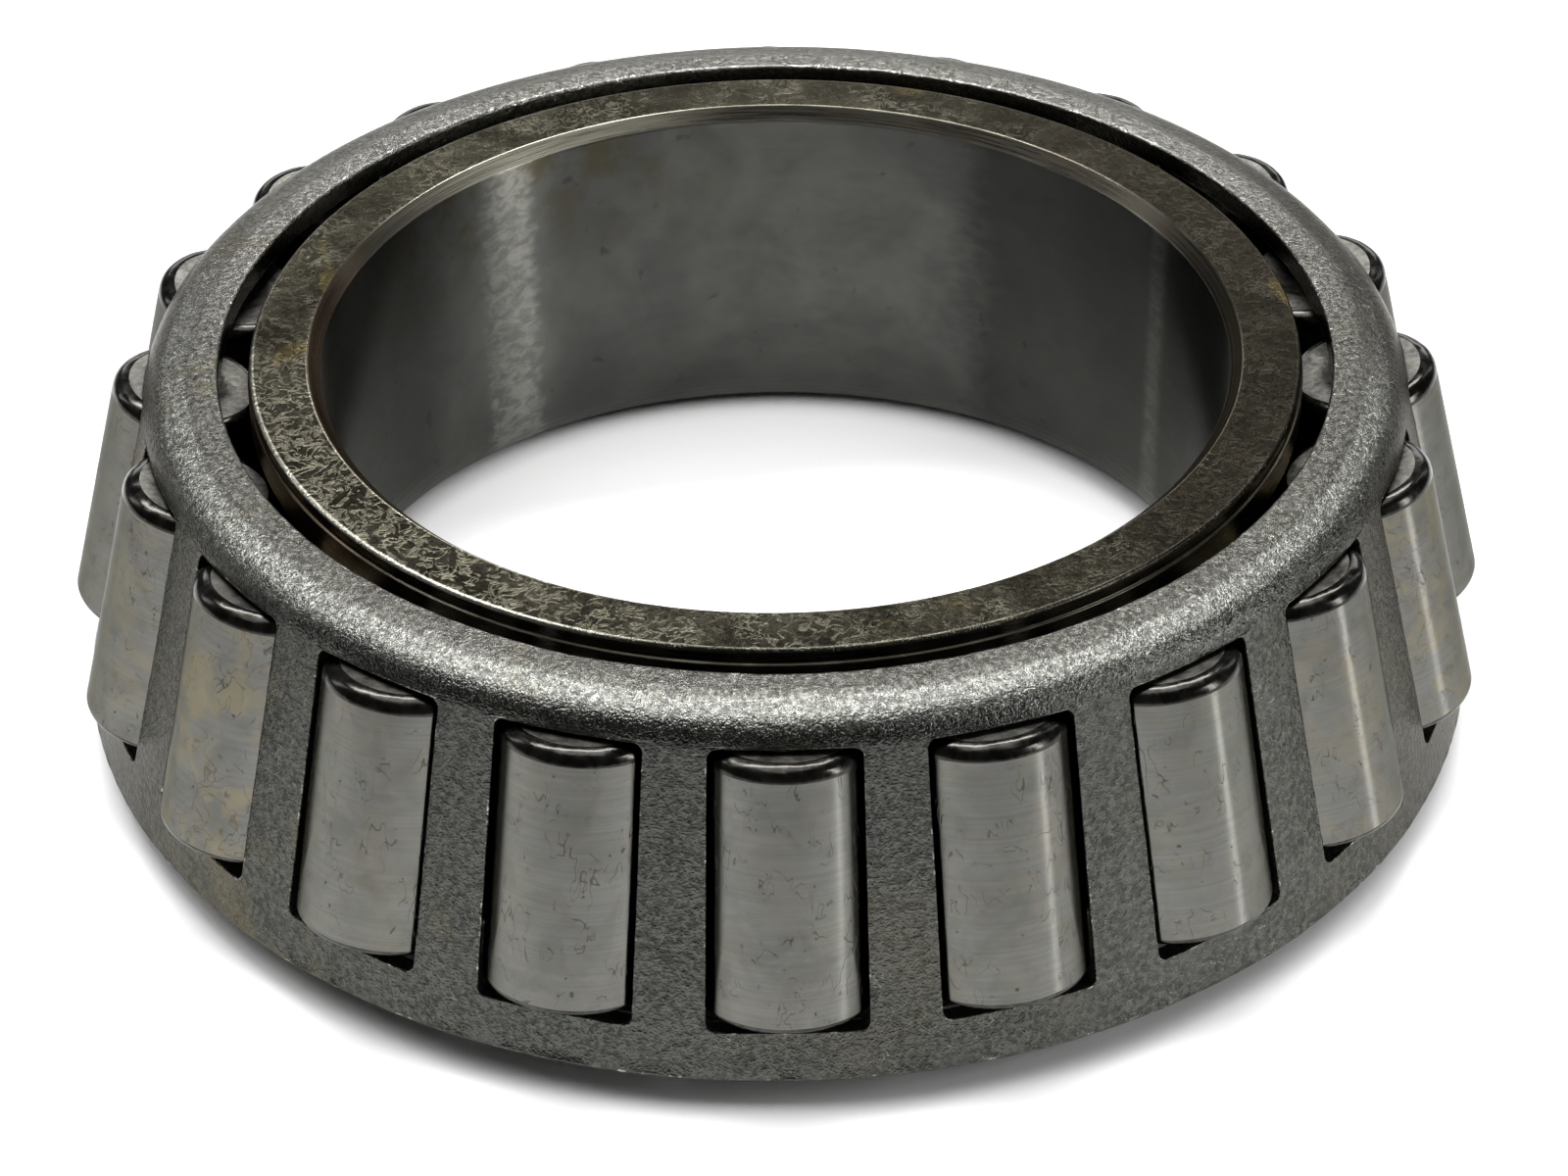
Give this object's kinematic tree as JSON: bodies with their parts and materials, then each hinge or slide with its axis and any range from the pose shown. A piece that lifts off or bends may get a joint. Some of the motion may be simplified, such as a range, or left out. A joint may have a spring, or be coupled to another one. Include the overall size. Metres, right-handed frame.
{
  "type": "tapered roller bearing cone assembly",
  "caption": "Cone assembly of a tapered roller bearing: an inner ring with a shaft bore, and a pressed cage that holds tapered rollers, which roll on the ring as the cage turns.",
  "frame": {"origin": "centre of the inner ring's back face, where the bearing axis meets the plane that the part stands on", "axes": "+Z along the bearing axis towards the rollers' small ends, -Y towards the first roller"},
  "size_m": [0.0722, 0.0722, 0.0198],
  "materials": {
    "ring_steel": "hardened bearing steel, ground smooth in the bore, with a darker oiled and mottled end face",
    "cage_steel": "pressed sheet steel, tumbled to a fine matt grain, brighter along the rounded shoulder",
    "roller_steel": "satin-ground bearing steel with light oil stains and a polished end radius"
  },
  "bodies": {
    "inner_ring": {"inner_ring": "ring_steel"},
    "cage": {"cage": "cage_steel"},
    "roller_01": {"roller_01": "roller_steel"},
    "roller_02": {"roller_02": "roller_steel"},
    "roller_03": {"roller_03": "roller_steel"},
    "roller_04": {"roller_04": "roller_steel"},
    "roller_05": {"roller_05": "roller_steel"},
    "roller_06": {"roller_06": "roller_steel"},
    "roller_07": {"roller_07": "roller_steel"},
    "roller_08": {"roller_08": "roller_steel"},
    "roller_09": {"roller_09": "roller_steel"},
    "roller_10": {"roller_10": "roller_steel"},
    "roller_11": {"roller_11": "roller_steel"},
    "roller_12": {"roller_12": "roller_steel"},
    "roller_13": {"roller_13": "roller_steel"},
    "roller_14": {"roller_14": "roller_steel"},
    "roller_15": {"roller_15": "roller_steel"},
    "roller_16": {"roller_16": "roller_steel"},
    "roller_17": {"roller_17": "roller_steel"},
    "roller_18": {"roller_18": "roller_steel"},
    "roller_19": {"roller_19": "roller_steel"},
    "roller_20": {"roller_20": "roller_steel"}
  },
  "joints": [
    {"name": "cage_spin", "type": "hinge", "parent": "inner_ring", "child": "cage", "pos_m": [0, 0, 0], "axis": [0, 0, 1], "continuous": true},
    {"name": "roller_01_spin", "type": "hinge", "parent": "cage", "child": "roller_01", "pos_m": [0, -0.03071, 0.0109], "axis": [0, 0.2108, 0.9775], "continuous": true},
    {"name": "roller_02_spin", "type": "hinge", "parent": "cage", "child": "roller_02", "pos_m": [0.00949, -0.02921, 0.0109], "axis": [-0.0651, 0.2005, 0.9775], "continuous": true},
    {"name": "roller_03_spin", "type": "hinge", "parent": "cage", "child": "roller_03", "pos_m": [0.01805, -0.02485, 0.0109], "axis": [-0.1239, 0.1706, 0.9775], "continuous": true},
    {"name": "roller_04_spin", "type": "hinge", "parent": "cage", "child": "roller_04", "pos_m": [0.02485, -0.01805, 0.0109], "axis": [-0.1706, 0.1239, 0.9775], "continuous": true},
    {"name": "roller_05_spin", "type": "hinge", "parent": "cage", "child": "roller_05", "pos_m": [0.02921, -0.00949, 0.0109], "axis": [-0.2005, 0.0651, 0.9775], "continuous": true},
    {"name": "roller_06_spin", "type": "hinge", "parent": "cage", "child": "roller_06", "pos_m": [0.03071, 0, 0.0109], "axis": [-0.2108, 0, 0.9775], "continuous": true},
    {"name": "roller_07_spin", "type": "hinge", "parent": "cage", "child": "roller_07", "pos_m": [0.02921, 0.00949, 0.0109], "axis": [-0.2005, -0.0651, 0.9775], "continuous": true},
    {"name": "roller_08_spin", "type": "hinge", "parent": "cage", "child": "roller_08", "pos_m": [0.02485, 0.01805, 0.0109], "axis": [-0.1706, -0.1239, 0.9775], "continuous": true},
    {"name": "roller_09_spin", "type": "hinge", "parent": "cage", "child": "roller_09", "pos_m": [0.01805, 0.02485, 0.0109], "axis": [-0.1239, -0.1706, 0.9775], "continuous": true},
    {"name": "roller_10_spin", "type": "hinge", "parent": "cage", "child": "roller_10", "pos_m": [0.00949, 0.02921, 0.0109], "axis": [-0.0651, -0.2005, 0.9775], "continuous": true},
    {"name": "roller_11_spin", "type": "hinge", "parent": "cage", "child": "roller_11", "pos_m": [0, 0.03071, 0.0109], "axis": [0, -0.2108, 0.9775], "continuous": true},
    {"name": "roller_12_spin", "type": "hinge", "parent": "cage", "child": "roller_12", "pos_m": [-0.00949, 0.02921, 0.0109], "axis": [0.0651, -0.2005, 0.9775], "continuous": true},
    {"name": "roller_13_spin", "type": "hinge", "parent": "cage", "child": "roller_13", "pos_m": [-0.01805, 0.02485, 0.0109], "axis": [0.1239, -0.1706, 0.9775], "continuous": true},
    {"name": "roller_14_spin", "type": "hinge", "parent": "cage", "child": "roller_14", "pos_m": [-0.02485, 0.01805, 0.0109], "axis": [0.1706, -0.1239, 0.9775], "continuous": true},
    {"name": "roller_15_spin", "type": "hinge", "parent": "cage", "child": "roller_15", "pos_m": [-0.02921, 0.00949, 0.0109], "axis": [0.2005, -0.0651, 0.9775], "continuous": true},
    {"name": "roller_16_spin", "type": "hinge", "parent": "cage", "child": "roller_16", "pos_m": [-0.03071, 0, 0.0109], "axis": [0.2108, 0, 0.9775], "continuous": true},
    {"name": "roller_17_spin", "type": "hinge", "parent": "cage", "child": "roller_17", "pos_m": [-0.02921, -0.00949, 0.0109], "axis": [0.2005, 0.0651, 0.9775], "continuous": true},
    {"name": "roller_18_spin", "type": "hinge", "parent": "cage", "child": "roller_18", "pos_m": [-0.02485, -0.01805, 0.0109], "axis": [0.1706, 0.1239, 0.9775], "continuous": true},
    {"name": "roller_19_spin", "type": "hinge", "parent": "cage", "child": "roller_19", "pos_m": [-0.01805, -0.02485, 0.0109], "axis": [0.1239, 0.1706, 0.9775], "continuous": true},
    {"name": "roller_20_spin", "type": "hinge", "parent": "cage", "child": "roller_20", "pos_m": [-0.00949, -0.02921, 0.0109], "axis": [0.0651, 0.2005, 0.9775], "continuous": true}
  ],
  "couplings": [
    {"joint": "roller_01_spin", "follows": "cage_spin", "ratio": 6.6172},
    {"joint": "roller_02_spin", "follows": "cage_spin", "ratio": 6.6172},
    {"joint": "roller_03_spin", "follows": "cage_spin", "ratio": 6.6172},
    {"joint": "roller_04_spin", "follows": "cage_spin", "ratio": 6.6172},
    {"joint": "roller_05_spin", "follows": "cage_spin", "ratio": 6.6172},
    {"joint": "roller_06_spin", "follows": "cage_spin", "ratio": 6.6172},
    {"joint": "roller_07_spin", "follows": "cage_spin", "ratio": 6.6172},
    {"joint": "roller_08_spin", "follows": "cage_spin", "ratio": 6.6172},
    {"joint": "roller_09_spin", "follows": "cage_spin", "ratio": 6.6172},
    {"joint": "roller_10_spin", "follows": "cage_spin", "ratio": 6.6172},
    {"joint": "roller_11_spin", "follows": "cage_spin", "ratio": 6.6172},
    {"joint": "roller_12_spin", "follows": "cage_spin", "ratio": 6.6172},
    {"joint": "roller_13_spin", "follows": "cage_spin", "ratio": 6.6172},
    {"joint": "roller_14_spin", "follows": "cage_spin", "ratio": 6.6172},
    {"joint": "roller_15_spin", "follows": "cage_spin", "ratio": 6.6172},
    {"joint": "roller_16_spin", "follows": "cage_spin", "ratio": 6.6172},
    {"joint": "roller_17_spin", "follows": "cage_spin", "ratio": 6.6172},
    {"joint": "roller_18_spin", "follows": "cage_spin", "ratio": 6.6172},
    {"joint": "roller_19_spin", "follows": "cage_spin", "ratio": 6.6172},
    {"joint": "roller_20_spin", "follows": "cage_spin", "ratio": 6.6172}
  ]
}
